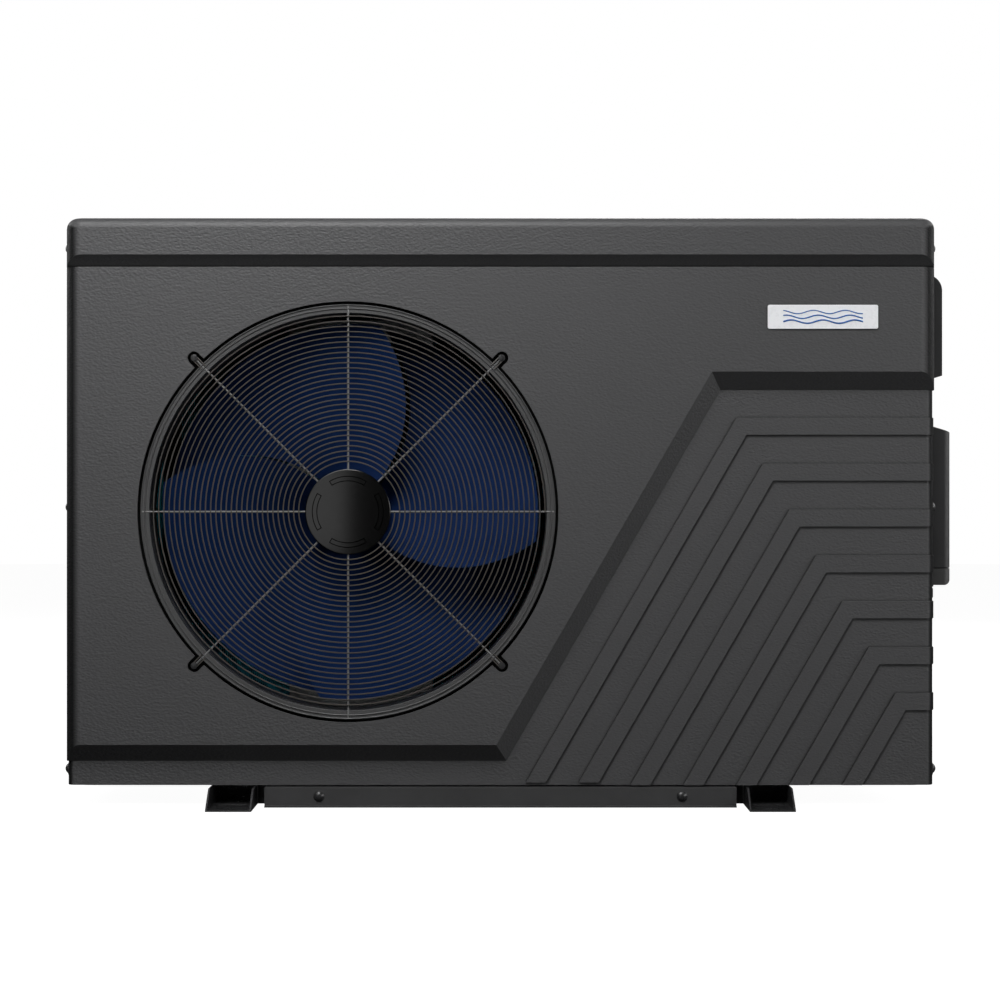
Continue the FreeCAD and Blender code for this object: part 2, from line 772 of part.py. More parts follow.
def fan_orifice():
    """Short ring round the blade tips, with a flange at its front and a flare at its back."""
    start = SEAT_BACK + 0.3
    sheet = 3.0
    throat = RIM_INNER_R - 0.5
    flange_r = SEAT_OUTER_R - 7
    flare = 8.0
    return turned(
        [
            (throat, start),
            (flange_r, start),
            (flange_r, start + sheet),
            (throat + sheet, start + sheet),
            (throat + sheet, THROAT_END),
            (throat + sheet + flare, THROAT_END + flare),
            (throat + flare, THROAT_END + flare + 2),
            (throat, THROAT_END + 1),
        ],
        fan_point(0, 0, 0), Y_AXIS,
    )


def blade(base_angle):
    """Swept blade: its front edge is nearest the guard and it falls back anticlockwise."""
    root = HUB_R - 2
    rows = []
    for ring_index in range(BLADE_RINGS + 1):
        share = ring_index / BLADE_RINGS
        radius = root + (BLADE_TIP_R - root) * share
        front_angle = base_angle + BLADE_SWEEP * share ** BLADE_CURL
        row = []
        for index in range(BLADE_STEPS + 1):
            t = index / BLADE_STEPS
            bow = BLADE_BOW * math.sin(math.pi * t)
            y = BLADE_FRONT + (BLADE_BACK - BLADE_FRONT) * t + bow
            row.append(fan_point(radius, front_angle + BLADE_SPAN * t, y))
        rows.append(row)
    surface = Part.BSplineSurface()
    surface.interpolate(rows)
    return surface.toShape().extrude(Y_AXIS * BLADE_THICK)


def fan_impeller():
    bore = SHAFT_R + SHAFT_FIT
    skin = 4.0
    boss_r = 14.0
    hub = turned(
        [
            (bore, HUB_FRONT + 6),
            (HUB_R - 6, HUB_FRONT + 2),
            (HUB_R, HUB_FRONT + 8),
            (HUB_R, HUB_BACK),
            (HUB_R - skin, HUB_BACK),
            (HUB_R - skin, HUB_FRONT + 14),
            (boss_r, HUB_FRONT + 14),
            (boss_r, HUB_BACK),
            (bore, HUB_BACK),
        ],
        fan_point(0, 0, 0), Y_AXIS,
    )
    blades = [blade(BLADE_START + 360 / BLADE_COUNT * index) for index in range(BLADE_COUNT)]
    return fuse([hub] + blades)


def fan_nut():
    front = HUB_FRONT - 4
    points = [fan_point(NUT_CORNER_R, 60 * i, front) for i in range(6)]
    nut = Part.Face(polygon(points)).extrude(V(0, HUB_FRONT + 5.5 - front, 0))
    return nut.cut(rod(fan_point(0, 0, front - 1), Y_AXIS, SHAFT_R + SHAFT_FIT, 20))


def motor_shaft():
    start = HUB_FRONT - 8
    return rod(fan_point(0, 0, start), Y_AXIS, SHAFT_R, MOTOR_FRONT + SHAFT_IN - start)


def fan_motor():
    body = turned(
        [
            (0, MOTOR_FRONT + 4),
            (22, MOTOR_FRONT),
            (24, MOTOR_FRONT + 10),
            (MOTOR_R - 4, MOTOR_FRONT + 14),
            (MOTOR_R, MOTOR_FRONT + 20),
            (MOTOR_R, MOTOR_BACK - 8),
            (MOTOR_R - 6, MOTOR_BACK),
            (0, MOTOR_BACK),
        ],
        fan_point(0, 0, 0), Y_AXIS,
    )
    reach = RAIL_OFFSET + 8
    arms = box(
        FAN_X - reach, FAN_X + reach, MOTOR_BACK - ARM_THICK, MOTOR_BACK,
        FAN_Z - ARM_HALF, FAN_Z + ARM_HALF,
    )
    start = fan_point(0, 0, MOTOR_FRONT - 1)
    bore = rod(start, Y_AXIS, SHAFT_R + SHAFT_FIT, SHAFT_IN + 6)
    return fuse([body, arms]).cut(bore)


def motor_bracket():
    y0 = MOTOR_BACK
    y1 = MOTOR_BACK + RAIL_DEPTH
    low, high = RAIL_Z
    half = RAIL_WIDTH / 2
    parts = []
    for side in (-1, 1):
        x = FAN_X + side * RAIL_OFFSET
        rail = box(x - half, x + half, y0, y1, low, high)
        hollow = box(x - half + SHEET, x + half - SHEET, y0 + SHEET, y1 + 1, low - 1, high + 1)
        parts.append(rail.cut(hollow))
    inner = RAIL_OFFSET - half + SHEET
    for z in CROSS_Z:
        parts.append(box(FAN_X - inner, FAN_X + inner, y0, y0 + SHEET, z, z + CROSS_HEIGHT))
    return fuse(parts)


def motor_screws():
    head = 3.0
    seats = [
        V(FAN_X + side * RAIL_OFFSET, MOTOR_BACK - ARM_THICK - head, FAN_Z + z)
        for side in (-1, 1) for z in (-14, 14)
    ]
    return Part.makeCompound([rod(seat, Y_AXIS, 5, head) for seat in seats])


def coil_band(z0, z1):
    """L-shaped block that follows the left side and the back, with a round corner."""
    far = 300.0
    outer = slab(COIL_LEFT, COIL_RIGHT + far, COIL_FRONT - far, COIL_BACK, z0, z1, COIL_CORNER_R)
    inner = slab(
        COIL_LEFT + COIL_THICK, COIL_RIGHT + far, COIL_FRONT - far, COIL_BACK - COIL_THICK,
        z0 - 1, z1 + 1, COIL_CORNER_R - COIL_THICK,
    )
    return outer.cut(inner).common(box(COIL_LEFT, COIL_RIGHT, COIL_FRONT, COIL_BACK, z0, z1))


def evaporator_fins():
    return coil_band(COIL_BOTTOM, COIL_TOP)


def evaporator_tubes():
    x = COIL_RIGHT + 0.2
    radius = BEND_PITCH / 2
    outside = box(x, x + 60, COIL_BACK - COIL_THICK, BACK, 0, COIL_TOP)
    bends = []
    for row in range(BEND_ROWS):
        z = COIL_BOTTOM + 20 + row * 2 * BEND_PITCH + radius
        for depth in BEND_DEPTHS:
            centre = V(x, COIL_BACK - depth, z)
            bend = Part.makeTorus(radius, BEND_TUBE_R, centre, Y_AXIS, 0, 360, 360)
            bends.append(bend.common(outside))
    low, high = HEADER_Z
    header = rod(V(COIL_RIGHT + 24, COIL_BACK - 45, low), Z_AXIS, HEADER_R, high - low)
    return Part.makeCompound(bends + [header])


def partition_plate():
    plate = box(PARTITION_X, PARTITION_X + SHEET, *PARTITION_Y, *PARTITION_Z)
    start = V(PARTITION_X - 1, 0, 0)
    holes = [rod(start + spot, X_AXIS, PARTITION_HOLE_R, SHEET + 2) for spot in PARTITION_HOLES]
    return plate.cut(holes)


def stud_spots():
    turns = [math.radians(30 + 120 * i) for i in range(3)]
    return [COMPRESSOR + V(math.cos(t), math.sin(t), 0) * STUD_RING_R for t in turns]


def compressor():
    r = COMPRESSOR_R
    low = COMPRESSOR_BASE
    high = COMPRESSOR_TOP
    body = turned(
        [
            (0, low), (r - 18, low + 2), (r - 4, low + 12), (r, low + 28),
            (r, high - 31), (r - 4, high - 17), (r - 20, high - 5), (0, high),
        ],
        COMPRESSOR, Z_AXIS,
    )
    base = COMPRESSOR + Z_AXIS * low
    plate = rod(base, Z_AXIS, r + 8, COMPRESSOR_PLATE)
    lugs = []
    holes = []
    for spot in stud_spots():
        lugs.append(rod(spot + Z_AXIS * low, Z_AXIS, LUG_R, COMPRESSOR_PLATE))
        holes.append(rod(spot + Z_AXIS * (low - 1), Z_AXIS, STUD_R + 1, COMPRESSOR_PLATE + 4))
    terminal = rod(COMPRESSOR + Z_AXIS * (high - 10), Z_AXIS, 18, 20)
    stub = rod(COMPRESSOR + V(DISCHARGE_X, 0, high - 15), Z_AXIS, 6, 22)
    return fuse([body, plate, terminal, stub] + lugs).cut(holes)


def compressor_grommets():
    height = COMPRESSOR_BASE - FLOOR_Z - 0.2
    return Part.makeCompound([
        ring(spot + Z_AXIS * FLOOR_Z, Z_AXIS, GROMMET_R, STUD_R + PIPE_GAP, height)
        for spot in stud_spots()
    ])


def compressor_studs():
    studs = []
    for spot in stud_spots():
        stud = rod(spot + Z_AXIS * FLOOR_Z, Z_AXIS, STUD_R, 34)
        nut = rod(spot + Z_AXIS * (COMPRESSOR_BASE + COMPRESSOR_PLATE + 0.2), Z_AXIS, 8, 6)
        studs.append(fuse([stud, nut]))
    return Part.makeCompound(studs)


def accumulator():
    low, high = ACCUMULATOR_Z
    r = ACCUMULATOR_R
    return turned(
        [
            (0, low), (r - 12, low + 2), (r, low + 16),
            (r, high - 16), (r - 12, high - 2), (0, high),
        ],
        ACCUMULATOR, Z_AXIS,
    )


def four_way_valve():
    centre = COMPRESSOR + Z_AXIS * VALVE_Z
    body = rod(centre - X_AXIS * VALVE_HALF, X_AXIS, VALVE_R, 2 * VALVE_HALF)
    pilot = rod(centre + V(-20, -24, 0), X_AXIS, 7, 40)
    x, y, z = centre
    coil = box(x - 12, x + 12, y - 44, y - 18, z - 12, z + 12)
    link = box(x - 6, x + 6, y - 20, y - 10, z - 4, z + 4)
    return fuse([body, pilot, coil, link])


def expansion_valve():
    body = rod(EXPANSION, Z_AXIS, 11, 40)
    coil = rod(EXPANSION + Z_AXIS * 40, Z_AXIS, 20, 30)
    tip = rod(EXPANSION + Z_AXIS * 70, Z_AXIS, 6, 14)
    return fuse([body, coil, tip])


def discharge_pipe():
    x, y, _ = COMPRESSOR
    start = COMPRESSOR_TOP + 7 + PIPE_GAP
    end = VALVE_Z - VALVE_R - PIPE_GAP
    far = x + DISCHARGE_X
    return pipe([(far, y, start), (far, y, 366), (x, y, 366), (x, y, end)], THIN_PIPE_R, 9)


def suction_pipe():
    x, y, _ = COMPRESSOR
    end_x, end_y, _ = ACCUMULATOR
    top = VALVE_Z - VALVE_R - PIPE_GAP
    low = ACCUMULATOR_Z[1] + PIPE_GAP
    left = x - 40
    return pipe(
        [(left, y, top), (left, y, 362), (end_x, end_y, 362), (end_x, end_y, low)], 6.0, 16
    )


def gas_pipe():
    x, y, _ = COMPRESSOR
    end_x, end_y, _ = EXCHANGER
    top = VALVE_Z - VALVE_R - PIPE_GAP
    right = x + 45
    side = x + 81
    return pipe(
        [
            (right, y, top), (right, y, 362), (side, y + 18, 362), (side, y + 18, 455),
            (end_x, end_y, 455), (end_x, end_y, EXCHANGER_Z[1] + PIPE_GAP),
        ],
        PIPE_R, 10,
    )


def liquid_pipe():
    start_x = EXCHANGER.x - EXCHANGER_R - PIPE_GAP
    y = EXCHANGER.y
    z = 112.0
    end_x, end_y, end_z = EXPANSION
    return pipe(
        [
            (start_x, y, z), (end_x + 50, y, z), (end_x, end_y, z),
            (end_x, end_y, end_z - PIPE_GAP),
        ],
        THIN_PIPE_R, 14,
    )


def coil_pipe():
    x, y, _ = COMPRESSOR
    z = 432.0
    start = VALVE_Z + VALVE_R + PIPE_GAP
    return pipe([(x, y, start), (x, y, z), (132, 60, z), (132, 112, z)], PIPE_R, 12)


def heat_exchanger():
    r = EXCHANGER_R
    low, high = EXCHANGER_Z
    body = turned(
        [(0, low), (r - 14, low + 2), (r, low + 16), (r, high - 18), (r - 14, high - 4), (0, high)],
        EXCHANGER, Z_AXIS,
    )
    bands = [ring(EXCHANGER + Z_AXIS * z, Z_AXIS, r + 3, r - 1, BAND_HEIGHT) for z in BAND_Z]
    spigots = []
    bores = []
    for z in UNION_Z:
        start = EXCHANGER + Z_AXIS * z
        spigots.append(rod(start, Y_AXIS, SPIGOT_R, SPIGOT_END - EXCHANGER.y))
        bores.append(rod(start, Y_AXIS, UNION_BORE_R, SPIGOT_END - EXCHANGER.y + 1))
    return fuse([body] + bands + spigots).cut(bores)


def exchanger_stand():
    inner, outer, flange_r = STAND_R
    base = EXCHANGER + Z_AXIS * FLOOR_Z
    foot_ring = ring(base, Z_AXIS, outer, inner, STAND_TOP - FLOOR_Z)
    flange = ring(base, Z_AXIS, flange_r, inner, 3)
    return fuse([foot_ring, flange]).cut(heat_exchanger())


def water_port(z):
    """Threaded port of the exchanger, held in the back panel by its flange."""
    start = SPIGOT_END + 0.3
    seat = BACK + 0.3
    end = BACK + PORT_LENGTH
    return turned(
        [
            (UNION_BORE_R, start), (THREAD_R - 1, start), (THREAD_R - 1, seat),
            (FLANGE_R, seat), (FLANGE_R, BACK + FLANGE_THICK), (THREAD_R, BACK + FLANGE_THICK),
            (THREAD_R, end), (UNION_BORE_R, end),
        ],
        V(EXCHANGER.x, 0, z), Y_AXIS,
    )


def union_nut(z):
    y0, y1 = NUT_Y
    inner = THREAD_R + THREAD_GAP
    neck = TAIL_R + THREAD_GAP
    centre = V(EXCHANGER.x, 0, z)
    body = turned(
        [(inner, y0), (NUT_R, y0), (NUT_R, y1), (neck, y1), (neck, NUT_LIP), (inner, NUT_LIP)],
        centre, Y_AXIS,
    )
    lugs = []
    for index in range(NUT_LUGS):
        lug = box(NUT_R - 2, NUT_LUG_R, y0 + 2, y1 - 2, -4, 4)
        lug.rotate(V(0, 0, 0), Y_AXIS, index * 360 / NUT_LUGS)
        lug.translate(centre)
        lugs.append(lug)
    return fuse([body] + lugs)


def tailpiece(z):
    start = BACK + PORT_LENGTH + 0.3
    collar = BACK + 30
    collar_r = THREAD_R - 0.6
    floor = TAIL_END - SOCKET_DEPTH
    return turned(
        [
            (UNION_BORE_R, start), (collar_r, start), (collar_r, collar), (TAIL_R, collar),
            (TAIL_R, TAIL_END), (SOCKET_R, TAIL_END), (SOCKET_R, floor), (UNION_BORE_R, floor),
        ],
        V(EXCHANGER.x, 0, z), Y_AXIS,
    )


def flow_switch():
    seat = EXCHANGER + V(-EXCHANGER_R - PIPE_GAP, 0, FLOW_SWITCH_Z)
    stem = rod(seat, X_AXIS * -1, 9, 18)
    x, y, z = seat
    case = box(x - 44, x - 16, y - 18, y + 18, z - 24, z + 24)
    return fuse([stem, case])


def electrical_box():
    x0, x1 = ELECTRIC_X
    y0, y1 = ELECTRIC_Y
    z0, z1 = ELECTRIC_Z
    outer = box(x0, x1, y0, y1, z0, z1)
    inner = box(x0 + SHEET, x1 - SHEET, y0 + SHEET, y1 - SHEET, z0 + SHEET, z1 + 1)
    return outer.cut(inner)


def control_board():
    board = box(*BOARD_X, *BOARD_Y, *BOARD_Z)
    low = ELECTRIC_Z[0] + SHEET
    top = BOARD_Z[1] - 0.8
    posts = [
        rod(V(x, y, low), Z_AXIS, 3, BOARD_Z[0] - low + 0.5)
        for x in (BOARD_X[0] + BOARD_INSET, BOARD_X[1] - BOARD_INSET)
        for y in (BOARD_Y[0] + BOARD_INSET, BOARD_Y[1] - BOARD_INSET)
    ]
    blocks = [
        box(x0, x1, y0, y1, top, top + height)
        for x0, x1, y0, y1, height in (
            (150, 190, -100, -60, 31),
            (205, 235, -100, -70, 25),
            (300, 380, -60, 0, 17),
            (150, 260, 0, 20, 13),
        )
    ]
    cans = [rod(V(260 + 26 * i, -95, top), Z_AXIS, 11, 34) for i in range(4)]
    return fuse([board] + posts + blocks + cans)


def board_heatsink():
    x0, x1 = SINK_X
    low, middle, high = SINK_Z
    base = box(x0, x1, *SINK_Y, middle, high)
    thick = 2.0
    step = (x1 - x0 - thick) / (SINK_FINS - 1)
    fins = [
        box(x0 + step * i, x0 + step * i + thick, *SINK_Y, low, middle + 1)
        for i in range(SINK_FINS)
    ]
    return fuse([base] + fins)


def side_hood(out, z0, z1, chamfer, radius, y0, y1):
    """Box on the right side: round at the top outer corner, sloping at the bottom."""
    x0 = HALF_W
    x1 = HALF_W + out
    middle = radius * (1 - math.cos(math.pi / 4))
    bottom = V(x0, y0, z0)
    top = V(x0, y0, z1)
    arc_start = V(x1 - radius, y0, z1)
    arc_middle = V(x1 - middle, y0, z1 - middle)
    arc_end = V(x1, y0, z1 - radius)
    knee = V(x1, y0, z0 + chamfer)
    edges = [
        Part.makeLine(bottom, top),
        Part.makeLine(top, arc_start),
        Part.Arc(arc_start, arc_middle, arc_end).toShape(),
        Part.makeLine(arc_end, knee),
        Part.makeLine(knee, bottom),
    ]
    return Part.Face(Part.Wire(edges)).extrude(V(0, y1 - y0, 0))


def button_spots():
    first = (BOX_Y[0] + BOX_Y[1] - 3 * BUTTON_PITCH) / 2
    z = CONTROL_Z[0] + 32
    return [V(CONTROL_FACE, first + BUTTON_PITCH * i, z) for i in range(4)]


def controller_housing():
    y0, y1 = BOX_Y
    side = 3.0
    hood = side_hood(CONTROL_OUT, *CONTROL_Z, HOOD_CHAMFER, HOOD_R, y0, y1)
    pocket = box(
        CONTROL_FACE, HALF_W + 2 * CONTROL_OUT, y0 + side, y1 - side,
        CONTROL_Z[0] - 2, HINGE_Z + 4.5,
    )
    depth = 5.0
    tunnels = [
        rod(spot - X_AXIS * depth, X_AXIS, BUTTON_R + BUTTON_GAP, depth + 1)
        for spot in button_spots()
    ]
    pin = rod(V(HINGE_X, y0 + 1, HINGE_Z), Y_AXIS, HINGE_HOLE_R, y1 - y0 - 2)
    return hood.cut([pocket, pin] + tunnels)


def controller_flap():
    y0 = BOX_Y[0] + FLAP_GAP
    y1 = BOX_Y[1] - FLAP_GAP
    x1 = HALF_W + CONTROL_OUT - 0.4
    low = CONTROL_Z[0] + FLAP_GAP
    plate = box(x1 - 2.6, x1, y0, y1, low, HINGE_Z)
    rims = [box(x1 - 6, x1, y, y + 2, low, HINGE_Z - 8) for y in (y0, y1 - 2)]
    grip = box(x1 - 8, x1, y0, y1, low, low + 2.5)
    barrel = rod(V(HINGE_X, y0, HINGE_Z), Y_AXIS, HINGE_BARREL_R, y1 - y0)
    pin_y = BOX_Y[0] + 1.2
    pin = rod(V(HINGE_X, pin_y, HINGE_Z), Y_AXIS, HINGE_PIN_R, BOX_Y[1] - 1.2 - pin_y)
    return fuse([plate, grip, barrel, pin] + rims)


def display_panel():
    plate = box(CONTROL_FACE, CONTROL_FACE + DISPLAY_THICK, *DISPLAY_Y, *DISPLAY_Z)
    edges = [e for e in plate.Edges if abs(e.BoundBox.XLength - DISPLAY_THICK) < SLIVER]
    return plate.makeFillet(4, edges)


def button(index):
    spot = button_spots()[index]
    back = 3.2
    cap = rod(spot - X_AXIS * back, X_AXIS, BUTTON_R, back + BUTTON_RISE)
    edge = [e for e in cap.Edges if e.BoundBox.XMin > spot.x + BUTTON_RISE - SLIVER]
    return cap.makeFillet(0.8, edge)


def terminal_solid(inset, z0, z1):
    """Box on the right side with a sloping top and rounded outer edges."""
    y0, y1 = TERMINAL_Y
    x1 = HALF_W + TERMINAL_OUT - inset
    low = TERMINAL_Z[0] + inset
    high = TERMINAL_Z[2] - inset
    outline = [(HALF_W, low), (x1, low), (x1, high - TERMINAL_TOP_DROP), (HALF_W, high)]
    block = prism_y(outline, y0 + inset, y1 - inset)
    edges = [
        e for e in block.Edges
        if e.BoundBox.XMin > x1 - SLIVER and e.BoundBox.ZMin < (low + high) / 2
    ]
    block = block.makeFillet(TERMINAL_CORNER_R - inset, edges)
    return block.common(box(HALF_W, HALF_W + 2 * TERMINAL_OUT, y0, y1, z0, z1))


def terminal_cover():
    outer = terminal_solid(0, TERMINAL_Z[1], TERMINAL_Z[2])
    inner = terminal_solid(TERMINAL_WALL, TERMINAL_Z[1] - 1, TERMINAL_Z[2])
    return outer.cut(inner)


def terminal_tray():
    outer = terminal_solid(0, TERMINAL_Z[0], TERMINAL_Z[1] - SPLIT_GAP)
    inner = terminal_solid(TERMINAL_WALL, TERMINAL_Z[0], TERMINAL_Z[1])
    hole = rod(GLAND - Z_AXIS, Z_AXIS, GLAND_R + 0.2, 8)
    return outer.cut([inner, hole])


def cable_gland():
    body = rod(GLAND - Z_AXIS * 20, Z_AXIS, GLAND_R, 28)
    flange = rod(GLAND - Z_AXIS * 5, Z_AXIS, GLAND_FLANGE_R, 4.8)
    turns = [math.radians(60 * i) for i in range(6)]
    points = [GLAND + V(math.cos(t), math.sin(t), 0) * GLAND_FLANGE_R for t in turns]
    cap = Part.Face(polygon(points)).extrude(V(0, 0, 11))
    cap.translate(Z_AXIS * -18)
    return fuse([body, flange, cap]).cut(rod(GLAND - Z_AXIS * 21, Z_AXIS, GLAND_BORE_R, 32))


def terminal_block():
    x = HALF_W + 0.2
    y0, y1 = BLOCK_Y
    base = box(x, HALF_W + 8, y0, y1, *BLOCK_Z)
    ridges = []
    heads = []
    for index in range(BLOCK_POLES + 1):
        y = y0 + BLOCK_PITCH * index
        ridges.append(box(x, HALF_W + 20, y, y + 2, *BLOCK_Z))
        if index < BLOCK_POLES:
            for z in (BLOCK_Z[0] + 12, BLOCK_Z[1] - 12):
                heads.append(rod(V(HALF_W + 7, y + 10, z), X_AXIS, 4.5, 5))
    return fuse([base] + ridges + heads)


NODES = {
    "front_panel": front_panel,
    "top_cover": top_cover,
    "left_side_grille": left_side_grille,
    "rear_grille": rear_grille,
    "right_side_panel": right_side_panel,
    "base_pan": base_pan,
    "left_foot": lambda: foot(-1),
    "right_foot": lambda: foot(1),
    "front_beam": lambda: beam(-1),
    "rear_beam": lambda: beam(1),
    "beam_screws": beam_screws,
    "casing_screws": casing_screws,
    "badge_plate": badge_plate,
    "fan_guard": fan_guard,
    "guard_cap": guard_cap,
    "guard_screws": guard_screws,
    "fan_orifice": fan_orifice,
    "fan_impeller": fan_impeller,
    "fan_nut": fan_nut,
    "motor_shaft": motor_shaft,
    "fan_motor": fan_motor,
    "motor_bracket": motor_bracket,
    "motor_screws": motor_screws,
    "evaporator_fins": evaporator_fins,
    "evaporator_tubes": evaporator_tubes,
    "partition_plate": partition_plate,
    "compressor": compressor,
    "compressor_grommets": compressor_grommets,
    "compressor_studs": compressor_studs,
    "accumulator": accumulator,
    "four_way_valve": four_way_valve,
    "expansion_valve": expansion_valve,
    "discharge_pipe": discharge_pipe,
    "suction_pipe": suction_pipe,
    "gas_pipe": gas_pipe,
    "liquid_pipe": liquid_pipe,
    "coil_pipe": coil_pipe,
    "heat_exchanger": heat_exchanger,
    "exchanger_stand": exchanger_stand,
    "water_inlet_port": lambda: water_port(UNION_Z[0]),
    "water_outlet_port": lambda: water_port(UNION_Z[1]),
    "inlet_union_nut": lambda: union_nut(UNION_Z[0]),
    "outlet_union_nut": lambda: union_nut(UNION_Z[1]),
    "inlet_tailpiece": lambda: tailpiece(UNION_Z[0]),
    "outlet_tailpiece": lambda: tailpiece(UNION_Z[1]),
    "flow_switch": flow_switch,
    "electrical_box": electrical_box,
    "control_board": control_board,
    "board_heatsink": board_heatsink,
    "terminal_cover": terminal_cover,
    "terminal_tray": terminal_tray,
    "terminal_block": terminal_block,
    "cable_gland": cable_gland,
    "controller_housing": controller_housing,
    "controller_flap": controller_flap,
    "display_panel": display_panel,
    "button_power": lambda: button(0),
    "button_mode": lambda: button(1),
    "button_up": lambda: button(2),
    "button_down": lambda: button(3),
}

os.makedirs("parts", exist_ok=True)
for name, make in NODES.items():
    shape = make()
    shape.exportStep(os.path.join("parts", name + ".step"))
    print(name, len(shape.Solids), "solid(s)", shape.isValid(), round(shape.Volume))
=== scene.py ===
import json
import math

import bmesh
import bpy
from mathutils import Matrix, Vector


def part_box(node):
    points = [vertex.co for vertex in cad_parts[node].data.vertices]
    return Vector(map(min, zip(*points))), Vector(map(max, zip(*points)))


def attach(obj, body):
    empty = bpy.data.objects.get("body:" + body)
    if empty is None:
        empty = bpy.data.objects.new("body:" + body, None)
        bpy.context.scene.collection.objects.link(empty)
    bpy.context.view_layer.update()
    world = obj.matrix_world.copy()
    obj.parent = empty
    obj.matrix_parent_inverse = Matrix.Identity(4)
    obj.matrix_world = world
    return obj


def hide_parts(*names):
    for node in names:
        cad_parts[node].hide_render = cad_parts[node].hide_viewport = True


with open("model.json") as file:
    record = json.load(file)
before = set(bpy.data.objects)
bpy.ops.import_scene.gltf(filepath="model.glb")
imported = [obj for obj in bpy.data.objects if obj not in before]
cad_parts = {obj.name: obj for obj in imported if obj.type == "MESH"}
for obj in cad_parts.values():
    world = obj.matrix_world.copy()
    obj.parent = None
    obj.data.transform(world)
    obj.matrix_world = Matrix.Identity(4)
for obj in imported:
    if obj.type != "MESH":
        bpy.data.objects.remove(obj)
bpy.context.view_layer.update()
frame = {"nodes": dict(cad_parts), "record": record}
NODES = frame["nodes"]
MM = 0.001

# Places read from the frame
rim_low, rim_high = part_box("fan_guard")
cap_low, cap_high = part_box("guard_cap")
fins_low, fins_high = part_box("evaporator_fins")
badge_low, badge_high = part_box("badge_plate")
FRONT_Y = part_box("front_panel")[0].y
FAN = (cap_low + cap_high) / 2
CAP_R = (cap_high.x - cap_low.x) / 2
GUARD_Y = rim_low.y


# ---------------------------------------------------------------- materials

CLOUD_SCALE = 9.0
SPECK_SCALE = 240.0
EDGE_REACH = 0.0012
GROOVE_REACH = 0.0015
CREASE_SHADE_REACH = 0.0035
GRAIN_TURN = math.radians(40)


def node(tree, kind, **values):
    made = tree.nodes.new(kind)
    for key, value in values.items():
        if key in made.inputs:
            made.inputs[key].default_value = value
        else:
            setattr(made, key, value)
    return made


def ramp(tree, source, low, high, out_low, out_high):
    """Maps a factor between low and high onto out_low to out_high."""
    mapped = node(tree, "ShaderNodeMapRange")
    mapped.inputs["From Min"].default_value = low
    mapped.inputs["From Max"].default_value = high
    mapped.inputs["To Min"].default_value = out_low
    mapped.inputs["To Max"].default_value = out_high
    tree.links.new(source, mapped.inputs["Value"])
    return mapped.outputs["Result"]


def mix(tree, factor, a, b):
    mixed = node(tree, "ShaderNodeMix", data_type="RGBA")
    for socket, value in ((mixed.inputs[0], factor), (mixed.inputs[6], a), (mixed.inputs[7], b)):
        if hasattr(value, "links") or hasattr(value, "is_linked"):
            tree.links.new(value, socket)
        else:
            socket.default_value = value
    return mixed.outputs[2]


def tint(color, factor):
    return tuple(min(1.0, c * factor) for c in color[:3]) + (1.0,)


def worn_edges(tree, base, color, wear):
    """Lightens the colour on sharp outer edges."""
    bevel = node(tree, "ShaderNodeBevel", samples=4, Radius=EDGE_REACH)
    flat = node(tree, "ShaderNodeNewGeometry")
    dot = node(tree, "ShaderNodeVectorMath", operation="DOT_PRODUCT")
    tree.links.new(bevel.outputs["Normal"], dot.inputs[0])
    tree.links.new(flat.outputs["Normal"], dot.inputs[1])
    edge = ramp(tree, dot.outputs["Value"], 0.995, 0.90, 0.0, wear)
    return mix(tree, edge, base, tint(color, 2.2))


def paint_corner_shade(tree, base, color, strength, specular, shader):
    """Painted shade: darkens the rounded upright corners, in colour and shine, and spares the flat
    sides.
    """
    facing = node(tree, "ShaderNodeNewGeometry")
    parts = node(tree, "ShaderNodeSeparateXYZ")
    tree.links.new(facing.outputs["Normal"], parts.inputs[0])
    across = node(tree, "ShaderNodeMath", operation="ABSOLUTE")
    upright = node(tree, "ShaderNodeMath", operation="ABSOLUTE")
    turned = node(tree, "ShaderNodeMath", operation="MULTIPLY_ADD")
    tree.links.new(parts.outputs["X"], across.inputs[0])
    tree.links.new(parts.outputs["Z"], upright.inputs[0])
    tree.links.new(upright.outputs["Value"], turned.inputs[0])
    turned.inputs[1].default_value = -1.3
    tree.links.new(across.outputs["Value"], turned.inputs[2])
    rise = ramp(tree, turned.outputs["Value"], 0.14, 0.48, 0.0, strength)
    fall = ramp(tree, across.outputs["Value"], 0.92, 0.995, 1.0, 0.15)
    dark = node(tree, "ShaderNodeMath", operation="MULTIPLY")
    tree.links.new(rise, dark.inputs[0])
    tree.links.new(fall, dark.inputs[1])
    shine = ramp(tree, dark.outputs["Value"], 0.0, 1.0, specular, 0.0)
    tree.links.new(shine, shader.inputs["Specular IOR Level"])
    return mix(tree, dark.outputs["Value"], base, tint(color, 0.10))


def moulded_grain(tree, place, size, height, shader):
    """Slanted cells and pits in the surface; size and height in mm."""
    slant = node(tree, "ShaderNodeMapping")
    slant.inputs["Rotation"].default_value = (0, GRAIN_TURN, 0)
    slant.inputs["Scale"].default_value = (0.6, 1, 1)
    tree.links.new(place, slant.inputs["Vector"])
    cells = node(tree, "ShaderNodeTexVoronoi", feature="SMOOTH_F1", Scale=1 / (size * MM))
    tree.links.new(slant.outputs["Vector"], cells.inputs["Vector"])
    pits = node(tree, "ShaderNodeTexNoise", Scale=0.8 / (size * MM), Detail=2.0)
    tree.links.new(slant.outputs["Vector"], pits.inputs["Vector"])
    both = node(tree, "ShaderNodeMath", operation="ADD")
    tree.links.new(cells.outputs["Distance"], both.inputs[0])
    tree.links.new(pits.outputs["Fac"], both.inputs[1])
    bump = node(tree, "ShaderNodeBump", Strength=1.0, Distance=height * MM)
    tree.links.new(both.outputs["Value"], bump.inputs["Height"])
    tree.links.new(bump.outputs["Normal"], shader.inputs["Normal"])


